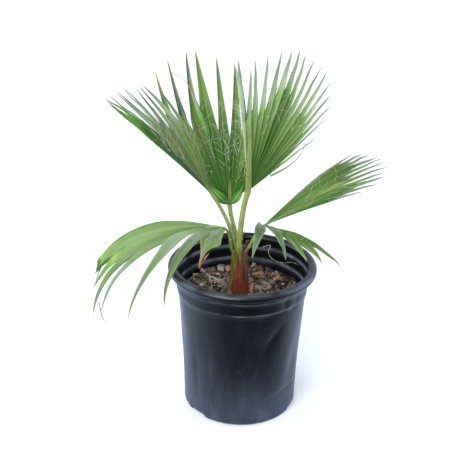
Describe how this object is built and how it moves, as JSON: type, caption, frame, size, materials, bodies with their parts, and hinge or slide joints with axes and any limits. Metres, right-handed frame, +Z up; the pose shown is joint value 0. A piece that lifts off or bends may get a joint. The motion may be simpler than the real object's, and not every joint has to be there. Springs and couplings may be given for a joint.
{
  "type": "potted mexican fan palm",
  "caption": "Young fan palm with upright, arching and spreading pleated fronds on thorny petioles, standing in a ribbed round nursery pot filled with bark mix.",
  "frame": {"origin": "middle of the pot's flat underside, on the floor that it stands on", "axes": "+Z up along the pot's axis, -Y towards the viewer of the picture, +X towards the low frond on the viewer's right"},
  "size_m": [0.5746, 0.437, 0.764],
  "materials": {
    "pot_plastic": "dusty satin black polyethylene",
    "bark_mix": "rough moist bark chips and crumbs with white mineral grains",
    "trunk_fibre": "fibrous dry leaf bases, matt",
    "petiole_green": "smooth waxy living stem",
    "leaf_green": "satin living leaf"
  },
  "bodies": {
    "root": {"pot": "pot_plastic", "potting_mix": "bark_mix", "trunk": "trunk_fibre", "petiole_left": "petiole_green", "petiole_middle": "petiole_green", "petiole_right": "petiole_green", "petiole_low_left": "petiole_green", "petiole_low_right": "petiole_green", "frond_upright_left": "leaf_green", "frond_upright_middle": "leaf_green", "frond_upright_right": "leaf_green", "frond_arching_back": "leaf_green", "frond_arching_front": "leaf_green", "frond_rising": "leaf_green", "frond_drooping": "leaf_green"}
  },
  "joints": []
}
